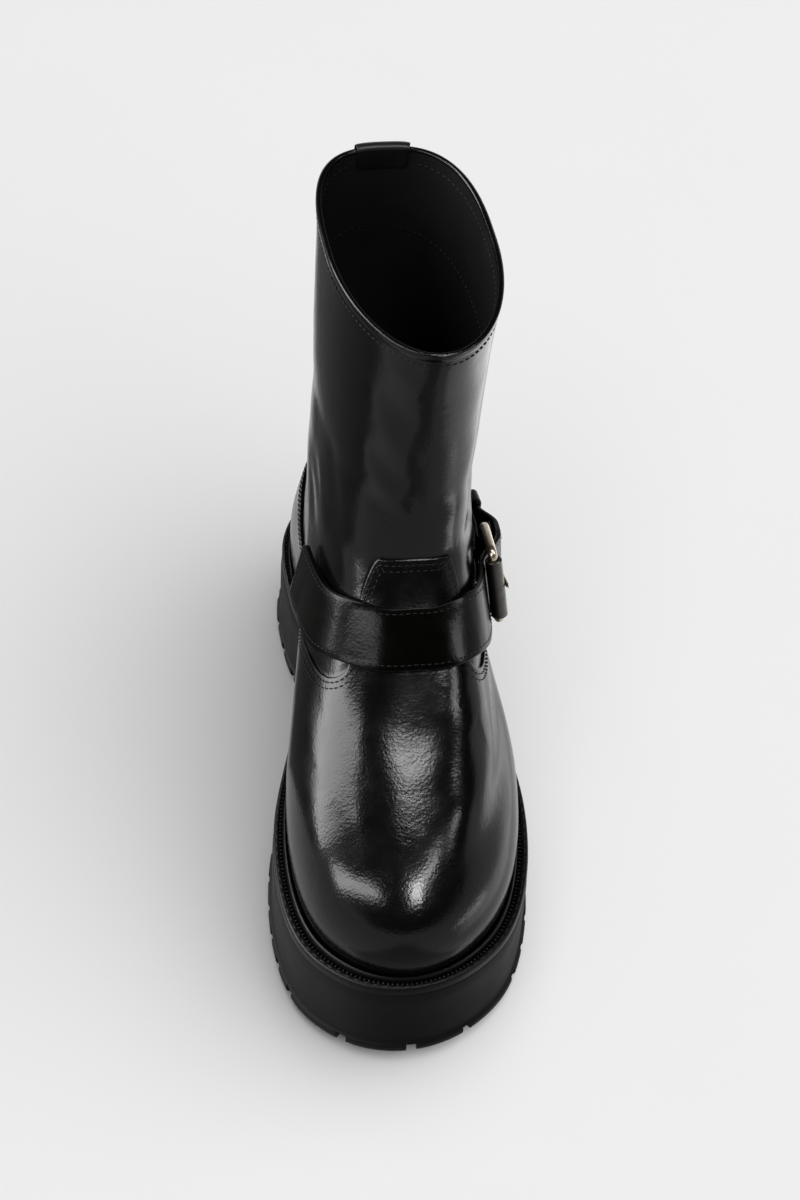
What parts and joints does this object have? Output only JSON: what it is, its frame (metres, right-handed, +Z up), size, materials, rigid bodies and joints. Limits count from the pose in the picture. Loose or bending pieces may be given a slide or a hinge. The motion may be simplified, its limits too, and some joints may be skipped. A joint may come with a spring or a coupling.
{
  "type": "biker boot",
  "caption": "left ankle biker boot with a platform lug sole, raised welt, plain round-toe vamp, smooth pull-on shaft, instep strap with roller buckle, and back pull tab",
  "frame": {"origin": "on the tread under the ball of the foot, on the plane the boot stands on", "axes": "+Z up, -Y towards the toe, +X towards the outer side of this left boot"},
  "size_m": [0.1102, 0.278, 0.2517],
  "materials": {
    "sole_rubber": "matte moulded light rubber, charcoal black",
    "welt_leather": "ribbed welt leather with stitches, black",
    "insole_sock": "plain sock leather on board, black",
    "upper_leather": "polished grain leather, black",
    "tab_leather": "polished leather, black",
    "strap_leather": "polished leather with stitched edges, black",
    "chape_leather": "polished leather, black",
    "keeper_leather": "polished leather, black",
    "buckle_nickel": "antique nickel plate",
    "roller_nickel": "antique nickel plate, darkened",
    "prong_nickel": "antique nickel plate"
  },
  "bodies": {
    "root": {"outsole": "sole_rubber", "welt": "welt_leather", "insole": "insole_sock", "upper": "upper_leather", "pull_tab": "tab_leather", "instep_strap": "strap_leather", "buckle_chape": "chape_leather", "keeper_loop": "keeper_leather", "buckle_frame": "buckle_nickel", "buckle_roller": "roller_nickel", "buckle_prong": "prong_nickel"}
  },
  "joints": []
}
